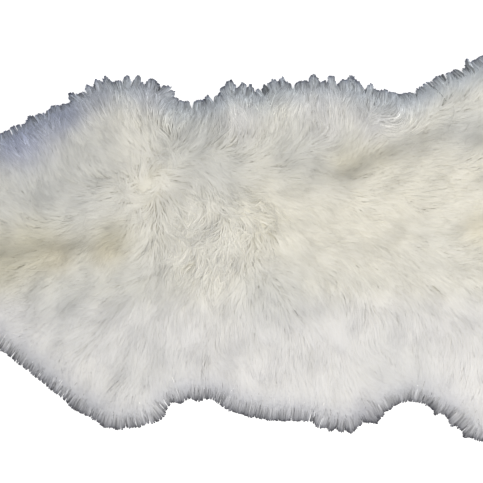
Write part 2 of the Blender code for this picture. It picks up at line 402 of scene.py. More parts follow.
near_side = rise(cell_y, *NEAR_SIDE)
at_rim = np.exp(-((np.maximum(depth, 0) / RIM_REACH) ** 2))
on_back = np.exp(-(((cell_y - BACK_LINE) / BACK_REACH) ** 2)) * rise(cell_x, *BACK_START)
near_flank = rise(cell_y, *FLANK_SIDE) * (1 - at_rim)
ZONES = (
    (on_back, CREAM, 1.3),
    (near_flank, MILKY, 2.0),
    # The two rim zones below are painted shade.
    (at_rim * near_side, RIM_SHADE_GREY, 3.0),
    (at_rim * (1 - near_side), FAR_RIM_SHADE, 2.8),
)
# The dusty rim that this prints is painted shade.
print("the dusty rim is about", round(RIM_REACH / MM), "mm wide")

# %% Single patches, in millimetres
Patch = namedtuple("Patch", "x y reach hex_colour strength")
PATCHES = (
    # Fresh wool in the swirl.
    Patch(-116, 32, 60, FRESH, 2.0), Patch(-84, -50, 60, FRESH, 2.0), Patch(-314, 80, 26, FRESH, 1.0),
    # Bleached ends on both flanks, and a clean place above the long parting.
    Patch(-58, 198, 30, BLEACHED, 1.8), Patch(80, 228, 38, BLEACHED, 1.8),
    Patch(-417, -150, 36, BLEACHED, 2.0), Patch(310, -252, 50, BLEACHED, 1.0),
    Patch(124, 128, 16, CREAM, 2.6), Patch(88, 178, 18, BLEACHED, 1.4),
    # Grease in the partings, and where it has stained the wool.
    Patch(-376, 2, 38, YOLK, 2.2), Patch(-430, -26, 40, YOLK, 1.5), Patch(-310, 4, 30, YOLK, 0.5),
    Patch(-252, 6, 28, YOLK, 1.5), Patch(118, 140, 24, YOLK, 1.7), Patch(170, 142, 26, YOLK, 0.8),
    Patch(332, 40, 16, YOLK, 0.8),
    Patch(-342, -18, 26, STAINED, 1.8), Patch(-266, -10, 22, STAINED, 1.2), Patch(322, 24, 20, STAINED, 1.2),
    # Painted shade: duller places, where the wool shades itself.
    Patch(-350, 90, 70, DULL_SHADE, 2.6), Patch(-290, 160, 40, DULL_SHADE, 1.0), Patch(-420, 92, 40, DULL_SHADE, 1.0),
    Patch(-112, 182, 42, DULL_SHADE, 2.2), Patch(-160, 158, 28, DULL_SHADE, 1.2), Patch(-80, 122, 44, DULL_SHADE, 1.8),
    Patch(48, 148, 60, DULL_SHADE, 1.8), Patch(112, 154, 20, DULL_SHADE, 1.5), Patch(262, 14, 50, DULL_SHADE, 0.5),
    Patch(305, 196, 36, DULL_SHADE, 2.0),
    Patch(-325, -95, 50, DULL_SHADE, 1.8), Patch(-314, -150, 38, DULL_SHADE, 1.0), Patch(-210, -70, 50, DULL_SHADE, 0.8),
    Patch(-200, -200, 60, DULL_SHADE, 1.2), Patch(-4, -94, 46, DULL_SHADE, 2.0), Patch(190, -200, 50, DULL_SHADE, 1.4),
    # Painted shade: the far side's neck lies in a cool shade, and a few places at the rim are painted darker
    # than the rest.
    Patch(-404, 174, 42, COOL_SHADE, 4.2), Patch(-340, 216, 32, COOL_SHADE, 3.0),
    Patch(-286, 246, 28, RIM_SHADE_GREY, 3.4), Patch(-192, 258, 32, RIM_SHADE_GREY, 2.8), Patch(164, 200, 38, RIM_SHADE_GREY, 0.9),
    Patch(144, -266, 20, DEEP_RIM_SHADE, 2.6),
)


# %% Blend them all
def tone_charts():
    """The wool's linear colour over each cell, as three charts."""
    weight = np.ones(cell_x.shape)
    colour = np.ones(cell_x.shape)[..., None] * linear(IVORY)
    pulls = [(chart * strength, hex_colour) for chart, hex_colour, strength in ZONES]
    for patch in PATCHES:
        gap = np.hypot(cell_x - patch.x * MM, cell_y - patch.y * MM) / (patch.reach * MM)
        pulls.append((patch.strength * np.exp(-(gap**2)), patch.hex_colour))
    for pull, hex_colour in pulls:
        weight += pull
        colour += pull[..., None] * linear(hex_colour)
    return [colour[..., k] / weight for k in range(3)]


tones = tone_charts()
print("the wool's colour is blended from", len(ZONES), "zones and", len(PATCHES), "patches")

# %% [markdown]
# ## Materials
# Wool is keratin, with a refractive index of about 1.55. Its scales scatter light, so it is rough and has
# a faint sheen where it is seen edge-on. Blender has a shader for single hairs, but a real wool fibre of
# 0.035 mm would vanish in the picture. The ones here are drawn about 1 mm wide and each stands for a few
# dozen, so a rough surface with some sheen comes closer to what the eye sees, and it can be exported.


# %% One helper for nodes
def add_node(material, kind, links=(), **settings):
    """A new node with these settings. Each link is (output socket, this node's input name).

    A setting is an input, with _ for a space in its name, or else a property of the node.
    """
    node = material.node_tree.nodes.new(kind)
    for name, value in settings.items():
        socket = name.replace("_", " ")
        if socket in node.inputs.keys():
            node.inputs[socket].default_value = value
        else:
            setattr(node, name, value)
    for source, target in links:
        material.node_tree.links.new(source, node.inputs[target])
    return node


def new_material(name):
    """A material with a bare Principled shader, and that shader."""
    material = bpy.data.materials.new(name)
    material.use_nodes = True
    return material, material.node_tree.nodes["Principled BSDF"]


# %% Combed wool
BLOTCH = 42 * MM  # how far apart slightly greasier patches lie
CRIMP = 5 * MM  # a long-wool fibre bends about twice in a centimetre


def combed_wool():
    """Carded and combed keratin fibre: rough, pale, with a soft sheen at grazing angles."""
    material, shader = new_material("combed_wool")
    links = material.node_tree.links
    tone = add_node(material, "ShaderNodeAttribute", attribute_name="wool_tone")
    place = add_node(material, "ShaderNodeTexCoord")
    blotches = add_node(
        material, "ShaderNodeTexNoise", [(place.outputs["Object"], "Vector")],
        Scale=1 / BLOTCH, Detail=3.0, Roughness=0.6,
    )
    span = add_node(
        material, "ShaderNodeMapRange", [(blotches.outputs["Fac"], "Value")], To_Min=0.93, To_Max=1.06,
    )
    shaded = add_node(
        material, "ShaderNodeVectorMath",
        [(tone.outputs["Color"], 0), (span.outputs["Result"], 1)], operation="MULTIPLY",
    )
    links.new(shaded.outputs["Vector"], shader.inputs["Base Color"])
    crimp = add_node(
        material, "ShaderNodeTexNoise", [(place.outputs["Object"], "Vector")],
        Scale=1 / CRIMP, Detail=1.0,
    )
    relief = add_node(
        material, "ShaderNodeBump", [(crimp.outputs["Fac"], "Height")], Strength=0.1, Distance=0.6 * MM,
    )
    links.new(relief.outputs["Normal"], shader.inputs["Normal"])
    matt = add_node(
        material, "ShaderNodeMapRange", [(blotches.outputs["Fac"], "Value")], To_Min=0.76, To_Max=0.88,
    )
    links.new(matt.outputs["Result"], shader.inputs["Roughness"])
    shader.inputs["IOR"].default_value = 1.55  # keratin
    shader.inputs["Specular IOR Level"].default_value = 0.3
    shader.inputs["Sheen Weight"].default_value = 0.25
    shader.inputs["Sheen Roughness"].default_value = 0.5
    return material


wool = combed_wool()
print("made", wool.name)

# %% [markdown]
# The skin is chrome-free tanned suede, pale buff, with a nap of less than half a millimetre, which is drawn
# twice as coarse so that it shows. It is only seen when the rug is lifted, so a mottled colour and a fine
# bump are enough.

# %% Tanned suede
NAP = 0.8 * MM
MOTTLE = 30 * MM


def tanned_suede():
    """The flesh side of a tanned skin: buffed suede, matt and mottled."""
    material, shader = new_material("tanned_suede")
    links = material.node_tree.links
    place = add_node(material, "ShaderNodeTexCoord")
    mottle = add_node(
        material, "ShaderNodeTexNoise", [(place.outputs["Object"], "Vector")],
        Scale=1 / MOTTLE, Detail=4.0, Roughness=0.65,
    )
    ramp = add_node(material, "ShaderNodeValToRGB", [(mottle.outputs["Fac"], "Fac")])
    ramp.color_ramp.elements[0].position = 0.3
    ramp.color_ramp.elements[0].color = (*linear("#c9b694"), 1)
    ramp.color_ramp.elements[1].position = 0.7
    ramp.color_ramp.elements[1].color = (*linear("#ddccb0"), 1)
    links.new(ramp.outputs["Color"], shader.inputs["Base Color"])
    nap = add_node(
        material, "ShaderNodeTexNoise", [(place.outputs["Object"], "Vector")], Scale=1 / NAP, Detail=2.0,
    )
    relief = add_node(
        material, "ShaderNodeBump", [(nap.outputs["Fac"], "Height")], Strength=0.4, Distance=0.2 * MM,
    )
    links.new(relief.outputs["Normal"], shader.inputs["Normal"])
    matt = add_node(
        material, "ShaderNodeMapRange", [(mottle.outputs["Fac"], "Value")], To_Min=0.98, To_Max=0.9,
    )
    links.new(matt.outputs["Result"], shader.inputs["Roughness"])
    shader.inputs["Sheen Weight"].default_value = 0.15
    return material


suede = tanned_suede()
print("made", suede.name)

# %% [markdown]
# ## The skin and the underwool
# Both are cut from the same chart. A thickened plane with a Boolean would do it too, but the chart's cells
# are there already. Those that lie deep enough inside the rim make the top face, their ragged edge is
# pulled onto a smooth line, and the edge is drawn down to a flat underside. The skin stops well short of
# the rim, because the wool grows outwards past it.


# %% Helpers for the edge of a cut piece
def pull_to_line(shape, inset):
    """Moves the corners of the open edge onto the line that lies this deep inside the rim."""
    edge_verts = [v for v in shape.verts if v.is_boundary]
    places = np.array([v.co.xy for v in edge_verts])
    excess = read(depth, *places.T) - inset
    steps = np.stack([read(inward_x, *places.T), read(inward_y, *places.T)], axis=1)
    places -= steps / (np.hypot(*steps.T)[:, None] + TINY) * excess[:, None]
    for vert, (px, py) in zip(edge_verts, places):
        vert.co.x, vert.co.y = px, py


def close_below(shape, bottom):
    """Draws the open edge down to this height, and closes the underside."""
    walls = bmesh.ops.extrude_edge_only(shape, edges=[e for e in shape.edges if e.is_boundary])
    for vert in (g for g in walls["geom"] if isinstance(g, bmesh.types.BMVert)):
        vert.co.z = bottom
    bmesh.ops.holes_fill(shape, edges=[e for e in shape.edges if e.is_boundary])
    bmesh.ops.triangulate(shape, faces=[f for f in shape.faces if len(f.verts) > 4])
    bmesh.ops.recalc_face_normals(shape, faces=shape.faces)


# %% Cut a closed mesh from the chart
SHARP = math.radians(50)  # the shading breaks where two faces meet at more than this


def cut_mesh(name, inset, stride, top, bottom):
    """A closed mesh over the cells at least inset deep. top is a chart, and bottom a height."""
    x, y, z, d = (chart[::stride, ::stride] for chart in (cell_x, cell_y, top, depth))
    kept = d >= inset
    whole = kept[:-1, :-1] & kept[1:, :-1] & kept[1:, 1:] & kept[:-1, 1:]
    number = np.arange(x.size).reshape(x.shape)
    quads = np.stack([number[:-1, :-1], number[:-1, 1:], number[1:, 1:], number[1:, :-1]], axis=-1)[whole]
    mesh = bpy.data.meshes.new(name)
    mesh.from_pydata(np.stack([x.ravel(), y.ravel(), z.ravel()], axis=1), [], quads)
    shape = bmesh.new()
    shape.from_mesh(mesh)
    bmesh.ops.delete(shape, geom=[v for v in shape.verts if not v.link_faces], context="VERTS")
    pull_to_line(shape, inset)
    close_below(shape, bottom)
    shape.to_mesh(mesh)
    shape.free()
    mesh.shade_smooth()
    mesh.set_sharp_from_angle(angle=SHARP)
    return mesh


def new_piece(name, mesh, material):
    """A piece of the rug. It lies with the pelt, stands for its solid, and has this material."""
    piece = bpy.data.objects.new(name, mesh)
    bpy.context.scene.collection.objects.link(piece)
    mesh.materials.append(material)
    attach(piece, "root")
    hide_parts("fleece")
    return piece


# %% The skin
SKIN_THICKNESS = 2.5 * MM
SKIN_UNEVEN = 0.2 * MM
SKIN_PUCKERS = 60 * MM
SKIN_INSET = 40 * MM
SKIN_STRIDE = 3

skin_top = SKIN_THICKNESS + SKIN_UNEVEN * clouds(SKIN_PUCKERS, seed=5)
skin = new_piece("skin", cut_mesh("skin", SKIN_INSET, SKIN_STRIDE, skin_top, bottom=0.0), suede)

# %% [markdown]
# The underwool is the short, dense wool near the skin. It closes the view between the long locks, and it
# keeps the warm, greasy tone that shows in the partings. It lies a little higher where the wool parts and
# on the sleek near flank, where less of it is hidden.

# %% The underwool's top
UNDERWOOL_DROP = 3.7 * MM  # how far it lies under the tips
PARTING_RISE, SLEEK_RISE = 0.5, 0.65  # the shares of that drop which these two places lose
UNDERWOOL_INSET = 20 * MM
UNDERWOOL_EDGE = 60 * MM  # from here outwards it dips
UNDERWOOL_EDGE_DROP = 10 * MM  # and this is how much, at its own edge
UNDERWOOL_LEAST = 4 * MM
FELT, FELT_SIZE = 0.9 * MM, 14 * MM  # its own soft lumps
SLEEK_FELT = 0.4  # the share of them that the sleek flank loses

felted = FELT * clouds(FELT_SIZE, seed=6) * (1 - SLEEK_FELT * sleek)
edge_drop = UNDERWOOL_EDGE_DROP * rise(depth, UNDERWOOL_EDGE, UNDERWOOL_INSET)
underwool_drop = UNDERWOOL_DROP * (1 - PARTING_RISE * parting) * (1 - SLEEK_RISE * sleek)
underwool_top = np.maximum(wool_top - underwool_drop - edge_drop + felted, UNDERWOOL_LEAST)
print("the underwool is up to", round(underwool_top.max() / MM), "mm deep")

# %% The underwool
UNDERWOOL_STRIDE = 2
UNDERWOOL_FLOOR = 1 * MM
ROOT_TINT = np.array((0.98, 0.965, 0.905))  # near the skin, the wool keeps its yellow grease


def paint(piece, colours):
    """Stores one linear colour for each vertex, under the name that the wool's material reads."""
    attribute = piece.data.color_attributes.new("wool_tone", "FLOAT_COLOR", "POINT")
    with_alpha = np.concatenate([colours, np.ones((len(colours), 1))], axis=1)
    attribute.data.foreach_set("color", with_alpha.astype(np.float32).ravel())


underwool_mesh = cut_mesh("underwool", UNDERWOOL_INSET, UNDERWOOL_STRIDE, underwool_top, UNDERWOOL_FLOOR)
underwool = new_piece("underwool", underwool_mesh, wool)
places = np.array([v.co.xy for v in underwool.data.vertices])
paint(underwool, ROOT_TINT * np.stack([read(tone, *places.T) for tone in tones], axis=1))
print("the underwool has", len(underwool.data.polygons), "faces")

# %% [markdown]
# ## Growing the long wool
# Fibres keep together in locks, so the locks are placed first: one every few millimetres, each walking
# along the lay of the wool from its root. Every lock then gets its own fibres, which start spread out and
# draw together towards its tip. Blender's hair curves could carry them, but they only become a surface
# when they are rendered, and this wool has to stay a mesh. So a fibre is a ribbon that tapers to a point:
# two triangles for each step, and one for the tip. That is the cheapest shape that still catches light
# along its length.

# %% Where the locks stand
LOCK_SPACING = 7.4 * MM
TUFT_SPACING = 26 * MM  # neighbouring locks that move together are a tuft
ROOT_INSET = 26 * MM
JITTER = 0.42  # how far a root may lie from its place in the grid, in spacings


def scattered(spacing, inset):
    """Places about this far apart, over the part of the pelt at least inset deep."""
    rows = np.arange(grid_y[0], grid_y[-1], spacing * math.sqrt(3) / 2)
    row = np.arange(grid_x[0], grid_x[-1], spacing)
    places = np.array([(x + n % 2 * spacing / 2, y) for n, y in enumerate(rows) for x in row])
    places += chance.uniform(-JITTER, JITTER, (len(places), 2)) * spacing
    return places[read(depth, *places.T) > inset]


roots = scattered(LOCK_SPACING, ROOT_INSET)
tufts = scattered(TUFT_SPACING, 0)
tuft_of = np.array([np.argmin(((tufts - root) ** 2).sum(1)) for root in roots])
print("there are", len(roots), "locks in", len(tufts), "tufts")

# %% How far each lock leaves the combed way
SWIRL_X, SWIRL_Y, SWIRL_REACH = -100 * MM, 35 * MM, 98 * MM  # the curly patch over the shoulders
SWIRL_SQUEEZE = 1.15  # it is this much shorter across the pelt than along it
TUFT_SWING = (0.10, 0.22)  # radians: everywhere, and how much more in the swirl
TUFT_CURL = (0.25, 0.9)  # the same for how a tuft's ends turn
LOCK_SWING, LOCK_CURL = 0.07, 0.15  # what each lock adds to its tuft's
TUMBLE_SWING = 0.8
LOCK_LENGTH = (46 * MM, 68 * MM)

from_swirl = np.hypot(roots[:, 0] - SWIRL_X, (roots[:, 1] - SWIRL_Y) * SWIRL_SQUEEZE)
swirling = np.exp(-((from_swirl / SWIRL_REACH) ** 2))
tuft_swing = chance.normal(0, 1, len(tufts))[tuft_of]
tuft_curl = chance.normal(0, 1, len(tufts))[tuft_of]
tuft_lift = chance.normal(0, 1, len(tufts))[tuft_of]
lock_swing = tuft_swing * (TUFT_SWING[0] + TUFT_SWING[1] * swirling)
lock_swing += chance.normal(0, LOCK_SWING, len(roots))
lock_swing += chance.normal(0, TUMBLE_SWING, len(roots)) * read(tumbling, *roots.T)
lock_curl = tuft_curl * (TUFT_CURL[0] + TUFT_CURL[1] * swirling)
lock_curl += chance.normal(0, LOCK_CURL, len(roots))
lock_length = chance.uniform(*LOCK_LENGTH, len(roots))
print("half of the locks swing more than", round(math.degrees(np.median(abs(lock_swing))), 1), "degrees")

# %% Walk each lock over the pelt
WALK_STEPS = 12
CURL_GROWTH = 1.5  # above 1, a lock turns mostly near its end


def walk(start, length, swing, curl):
    """Each lock's way over the pelt: its places, step by step. swing turns it all, and curl its end."""
    here = start.copy()
    way = [here.copy()]
    for step in range(WALK_STEPS):
        turn = swing + curl * (step / WALK_STEPS) ** CURL_GROWTH
        ahead_x, ahead_y = read(lay_x, *here.T), read(lay_y, *here.T)
        size = np.hypot(ahead_x, ahead_y) + TINY
        ahead = np.stack(turned(ahead_x, ahead_y, turn), axis=1) / size[:, None]
        here += ahead * (length / WALK_STEPS)[:, None]
        way.append(here.copy())
    return np.stack(way, axis=1)


ways = walk(roots, lock_length, lock_swing, lock_curl)
print("a lock runs", round(lock_length.mean() / MM), "mm on average")

# %% [markdown]
# A lock near the rim would walk off the pelt, so each one is cut to the share of its way that stays on it.
# The ends of the rim's own locks are made in their own step below.

# %% Keep the locks on the pelt
LOCK_END = (-20 * MM, -6 * MM)  # how far past the softened rim a lock may end: below zero is inside it
SHORTEST = 0.25  # the least share of its way that a lock keeps

lock_end = chance.uniform(*LOCK_END, len(roots))
on_pelt = read(depth, ways[..., 0], ways[..., 1]) > -lock_end[:, None]
first_off = np.where(on_pelt.all(1), WALK_STEPS, np.argmin(on_pelt, axis=1))
lock_share = np.clip(first_off / WALK_STEPS, SHORTEST, 1)
print("the rim cuts short", (lock_share < 1).sum(), "locks")


# %% Read a lock's way at any share of it
LEAST_LENGTH = 1e-9  # far below the length of any vector here, so that it only guards the division


def unit(vectors):
    """The vectors at length one."""
    return vectors / (np.linalg.norm(vectors, axis=-1, keepdims=True) + LEAST_LENGTH)


def along(ways, lock_of, share):
    """Places on each fibre's lock, and the way ahead there, at these shares of the lock's walk."""
    steps = np.clip(share * WALK_STEPS, 0, WALK_STEPS - TINY)
    number = steps.astype(int)
    part = (steps - number)[..., None]
    one, other = ways[lock_of[:, None], number], ways[lock_of[:, None], number + 1]
    return one + (other - one) * part, unit(other - one)


# %% Make ribbons
def ribbon_mesh(name, nodes, facing, widths):
    """One mesh of tapering ribbons. Arrays have a row for each fibre and a column for each node."""
    count, steps = nodes.shape[:2]
    tangent = unit(np.gradient(nodes, axis=1))
    side = unit(np.cross(tangent, facing)) * widths[..., None] / 2
    pairs = np.stack([nodes - side, nodes + side], axis=2)[:, :-1].reshape(count, -1, 3)
    verts = np.concatenate([pairs, nodes[:, -1:]], axis=1)
    strip = [(k, k + 1, k + 2) if k % 2 == 0 else (k + 1, k, k + 2) for k in range(2 * steps - 3)]
    faces = np.array(strip)[None] + (np.arange(count) * verts.shape[1])[:, None, None]
    mesh = bpy.data.meshes.new(name)
    mesh.from_pydata(verts.reshape(-1, 3), [], faces.reshape(-1, 3))
    mesh.shade_smooth()
    return mesh


def ribbon_tints(colours):
    """The nodes' colours, given to both sides of each ribbon and to its tip."""
    tints = np.concatenate([np.repeat(colours[:, :-1], 2, axis=1), colours[:, -1:]], axis=1)
    return tints.reshape(-1, 3)


# %% [markdown]
# A fibre's height follows the chart. It leaves the underwool below the surface, climbs to it over its
# first third, and lies on it from there. Layers give the pile its depth, and a few ends stand proud.

# %% The height of fibres
ROOT_DROP = 6.5 * MM
PARTING_FILL = 0.85  # how much less deep fibres start where the wool parts, so that no bare spot shows
SLEEK_FILL = 0.4  # and on the sleek near flank
CLIMB = 0.34  # the share of a fibre's length over which it climbs
FLOOR_GAP = 0.6 * MM


def laid_on_pile(x, y, t, layer, lift):
    """The nodes of fibres that lie at these places. t runs from 0 at the root to 1 at the tip."""
    drop = ROOT_DROP * (1 - PARTING_FILL * read(parting, x[:, :1], y[:, :1]))
    drop *= 1 - SLEEK_FILL * read(sleek, x[:, :1], y[:, :1])
    climbing = np.clip(1 - t / CLIMB, 0, 1) ** 2
    height = read(wool_top, x, y) * layer[:, None] - drop * climbing + lift[:, None] * t**2
    return np.stack([x, y, np.maximum(height, FLOOR_GAP)], axis=-1)


def facing_up(nodes, roll):
    """The way that each ribbon faces: up from the pile, but rolled at random about its own length."""
    x, y = nodes[..., 0], nodes[..., 1]
    upward = unit(np.stack([-read(slope_x, x, y), -read(slope_y, x, y), np.ones_like(x)], axis=-1))
    tangent = unit(np.gradient(nodes, axis=1))
    roll = (chance.normal(0, 1, len(nodes)) * roll)[:, None, None]
    return upward * np.cos(roll) + np.cross(tangent, upward) * np.sin(roll)


# %% The tone of fibres
TIP_SHADE = 1.01  # the tone at the tip, as a share of the wool's own
RIM_DUSK = 0.2  # painted shade: wool near the floor is a little grey
RIM_DUSK_DEPTH = 26 * MM
DUSK_TINT = ("#4e4f57", "#484f68")  # the colour of the painted shade at the near and the far rim
MOST_DUSK = 0.95


def tinted(x, y, t, tone, dusk):
    """The nodes' linear colours: the pelt's own, yellower at the root, and grey where shade is painted on
    them.
    """
    shade = (ROOT_TINT + (TIP_SHADE - ROOT_TINT) * t[..., None]) * tone[:, None, None]
    colours = np.stack([read(chart, x, y) for chart in tones], axis=-1) * shade
    dusk = np.clip(dusk + RIM_DUSK * rise(read(depth, x, y), RIM_DUSK_DEPTH, 0), 0, MOST_DUSK)
    near_tint, far_tint = (linear(colour) for colour in DUSK_TINT)
    return colours * (1 - dusk[..., None] * (1 - np.where(y[..., None] > 0, far_tint, near_tint)))


# %% Dress a set of fibres
FIBRE_WIDTH = (0.7 * MM, 1.4 * MM)
ROOT_WIDTH = 0.75  # a fibre's width at its root, as a share of its full width
FULL_FROM = 0.2  # where along it the width is full
TIP_SHAPE = 0.7  # below 1, a fibre keeps its width for longer before it comes to a point


def dress(name, places, layer, lift, width, tone, roll, blunt=0.45, dusk=0.0):
    """Gives heights, facings, widths and tones to fibres that lie at these places, and makes them.

    blunt is the share of a fibre's length over which it comes to a point, and dusk is how much painted shade
    greys its nodes.
    """
    x, y = places[..., 0], places[..., 1]
    t = np.linspace(0, 1, places.shape[1])[None]
    nodes = laid_on_pile(x, y, t, layer, lift)
    taper = np.clip((1 - t) / blunt, 0, 1) ** TIP_SHAPE
    taper = taper * (ROOT_WIDTH + (1 - ROOT_WIDTH) * np.clip(t / FULL_FROM, 0, 1))
    mesh = ribbon_mesh(name, nodes, facing_up(nodes, roll), width[:, None] * taper)
    piece = new_piece(name, mesh, wool)
    paint(piece, ribbon_tints(tinted(x, y, t, tone, dusk)))
    print(name, "has", len(places), "fibres and", len(mesh.polygons), "triangles")
    return piece


# %% [markdown]
# The calm wool needs few steps. The curly patch gets more, so that its waves stay round, and thin curls of
# their own lie on top of it. On the sleek near flank everything that breaks the surface is smaller. Along
# the far rim the wool is a little weathered: its locks draw together more, and its tones differ more.

# %% Three styles of wool
# steps is the number of nodes of a fibre, and count that of the fibres in a lock. They start within radius
# and draw together by gather. wave and wavelength are their crimp, and disorder says how much its phase
# differs. lift raises their ends, layers spreads them in depth, and roll turns each ribbon about its own
# length. uneven says how much the locks' tones differ.
Style = namedtuple("Style", "steps count radius gather wave wavelength disorder lift layers roll uneven")
CALM = Style(
    steps=5, count=10, radius=6.8 * MM, gather=0.3, wave=0.5 * MM, wavelength=26 * MM, disorder=0.5,
    lift=0.0, layers=0.02, roll=0.06, uneven=0.012,
)
LOOSE_CURL = Style(
    steps=7, count=10, radius=4.8 * MM, gather=0.6, wave=2.2 * MM, wavelength=44 * MM, disorder=0.2,
    lift=0.3 * MM, layers=0.08, roll=0.3, uneven=0.035,
)
TIGHT_CURL = Style(
    steps=10, count=10, radius=2.2 * MM, gather=0.65, wave=2.6 * MM, wavelength=34 * MM, disorder=0.12,
    lift=2.6 * MM, layers=0.08, roll=0.45, uneven=0.06,
)
print("a lock has", CALM.count, "fibres, and at its root they lie within", round(CALM.radius / MM, 1), "mm")

# %% Where the wool is weathered
WEATHERED_DEPTH = (110 * MM, 45 * MM)
WEATHERED_SIDE = (60 * MM, 130 * MM)
SPARED_END = (180 * MM, 260 * MM)  # the rump's end is less weathered
SPARED = 0.85

far_rim = rise(depth, *WEATHERED_DEPTH) * rise(cell_y, *WEATHERED_SIDE)
far_rim *= 1 - SPARED * rise(cell_x, *SPARED_END)
print("the wool is weathered over", round(far_rim[depth > 0].sum() * (CELL / CM) ** 2), "square centimetres")

# %% Where a lock's fibres run
FIBRE_SHARE = (0.72, 1.0)  # how much of its lock's length a fibre has
LOCK_PHASE = 2.399  # radians, about the golden angle, so that no two neighbours wave alike
GATHER_CURVE, STRAY_CURVE = 1.4, 1.6  # above 1, a fibre gathers and strays mostly near its end
WAVE_START = 3  # the crimp has its full height from a third of the way
STRAY = 5 * MM  # how far a fibre's end strays from its lock
WILD_STRAY = 14 * MM  # and how far that of a wild one does, which crosses the others
WILD_SHARE = 0.06
SLEEK_TAMES = 0.9  # the share of the wild ones that is missing on the sleek flank
WEATHER_GATHERS = 0.5  # weathered locks draw together more
WEATHER_TAMES = 0.5  # and their ends stray less


def fibre_places(lock_of, style, smooth, weathered):
    """The places of these locks' fibres, node by node, and which of them are wild."""
    count, t = len(lock_of), np.linspace(0, 1, style.steps)[None]
    share = t * (lock_share[lock_of] * chance.uniform(*FIBRE_SHARE, count))[:, None]
    centre, ahead = along(ways, lock_of, share)
    across = np.stack([-ahead[..., 1], ahead[..., 0]], axis=-1)
    angle = chance.uniform(0, 2 * math.pi, count)
    radius = style.radius * np.sqrt(chance.uniform(0, 1, count))
    phase = (lock_of * LOCK_PHASE)[:, None] + chance.normal(0, style.disorder, count)[:, None]
    distance = share * lock_length[lock_of][:, None]
    sway = style.wave * np.sin(2 * math.pi * distance / style.wavelength + phase)
    sway *= np.clip(WAVE_START * t, 0, 1)
    wild = chance.random(count) < WILD_SHARE * (1 - SLEEK_TAMES * smooth)
    stray = chance.normal(0, 1, count) * np.where(wild, WILD_STRAY, STRAY) * style.radius / CALM.radius
    gather = (style.gather + WEATHER_GATHERS * weathered)[:, None]
    sideways = (radius * np.cos(angle))[:, None] * (1 - gather * t**GATHER_CURVE) + sway
    sideways += (stray * (1 - WEATHER_TAMES * weathered))[:, None] * t**STRAY_CURVE
    lengthways = (radius * np.sin(angle))[:, None] * np.ones_like(t)
    return centre + across * sideways[..., None] + ahead * lengthways[..., None], wild


# %% How high its fibres lie
TOP_LAYER = 1.015  # the topmost fibres, as a share of the chart's height
TUFT_LIFT = 1.2 * MM  # how much the tufts' heights differ
PROUD = 0.5 * MM  # how far an end stands proud
WILD_LIFT = 5 * MM
SLEEK_LIFT, SLEEK_PROUD = 0.6, 0.5  # the shares of both that the sleek flank loses


def fibre_heights(lock_of, style, smooth, weathered, wild):
    """Each fibre's layer, as a share of the chart's height, and how far its end is lifted."""
    count = len(lock_of)
    layer = TOP_LAYER - style.layers * chance.uniform(0, 1, count)
    lift = tuft_lift[lock_of] * TUFT_LIFT * (1 - SLEEK_LIFT * smooth + weathered) + style.lift
    lift += np.abs(chance.normal(0, PROUD, count)) * (1 - SLEEK_PROUD * smooth)
    lift += wild * chance.uniform(0, WILD_LIFT, count)
    return layer, lift


# %% How its fibres' tones differ
STREAKS = 0.16  # how much more tones differ where the wool is weathered
LOCK_STREAKS, TUFT_STREAKS = 0.4, 0.4  # the shares of that which a whole lock and a whole tuft take
SWIRL_STREAKS = 0.07
FIBRE_UNEVEN = 0.015
SLEEK_EVEN = 0.5
LOCK_BEAT, TUFT_BEAT = 7.13, 2.7  # radians from one to the next: a sine then gives each its own tone


def fibre_tones(lock_of, style, smooth, weathered):
    """Each fibre's brightness, as a share of the wool's own."""
    streaky = STREAKS * weathered
    tone = 1 + (style.uneven + LOCK_STREAKS * streaky) * np.sin(lock_of * LOCK_BEAT)
    tuft_tone = np.sin(tuft_of[lock_of] * TUFT_BEAT)
    tone += (TUFT_STREAKS * streaky + SWIRL_STREAKS * swirling[lock_of]) * tuft_tone
    spread = FIBRE_UNEVEN * (1 - SLEEK_EVEN * smooth) + streaky
    return tone * (1 + chance.normal(0, 1, len(lock_of)) * spread)


# %% Grow the pile, band by band
BANDS = (
    ("neck_wool", -600 * MM, -330 * MM),
    ("shoulder_wool", -330 * MM, -120 * MM),
    ("back_wool", -120 * MM, 100 * MM),
    ("loin_wool", 100 * MM, 300 * MM),
    ("rump_wool", 300 * MM, 600 * MM),
)
CURLY = 0.45  # how much of the swirl a lock has to be in to be loose and curly
CURLS_SHARE = 0.6  # how many of those locks also carry thin curls


def fibres(name, chosen, style):
    """The fibres of the chosen locks, in this style."""
    lock_of = np.repeat(np.flatnonzero(chosen), style.count)
    smooth, weathered = (read(chart, *roots[lock_of].T) for chart in (sleek, far_rim))
    places, wild = fibre_places(lock_of, style, smooth, weathered)
    layer, lift = fibre_heights(lock_of, style, smooth, weathered, wild)
    width = chance.uniform(*FIBRE_WIDTH, len(lock_of))
    tone = fibre_tones(lock_of, style, smooth, weathered)
    return dress(name, places, layer, lift, width, tone, roll=style.roll)


curly = swirling > CURLY
for name, start, end in BANDS:
    fibres(name, (roots[:, 0] >= start) & (roots[:, 0] < end) & ~curly, CALM)
fibres("swirl_wool", curly, LOOSE_CURL)
fibres("swirl_curls", curly & (chance.random(len(roots)) < CURLS_SHARE), TIGHT_CURL)

# %% [markdown]
# ## The rim's locks
# At the rim the wool parts into lobes, each of one to three of the solid's points. A lobe could be one
# flat leaf, but then its edge is a cut line. So it is a row of thin wisps: those in its middle reach
# furthest, and those at its sides end in the notch to the next one. The far side is ruffled, and the near
# side is smoother, because its wool lies pressed on the floor. Pairs of values are for the near side first
# and then for the far side.

# %% The solid's points, in order round the rim
corner_reach = -read(depth, *corners.T)
is_point = (corner_reach > np.roll(corner_reach, 1)) & (corner_reach > np.roll(corner_reach, -1))
points, reaches = corners[is_point], corner_reach[is_point]
mark_step = rim_length / len(rim)
marks = np.array([np.argmin(((rim - p) ** 2).sum(1)) for p in points]) * mark_step
order = np.argsort(marks)
points, reaches, marks = points[order], reaches[order], marks[order]
print("the rim has", len(points), "points, up to", round(reaches.max() / MM, 1), "mm out")

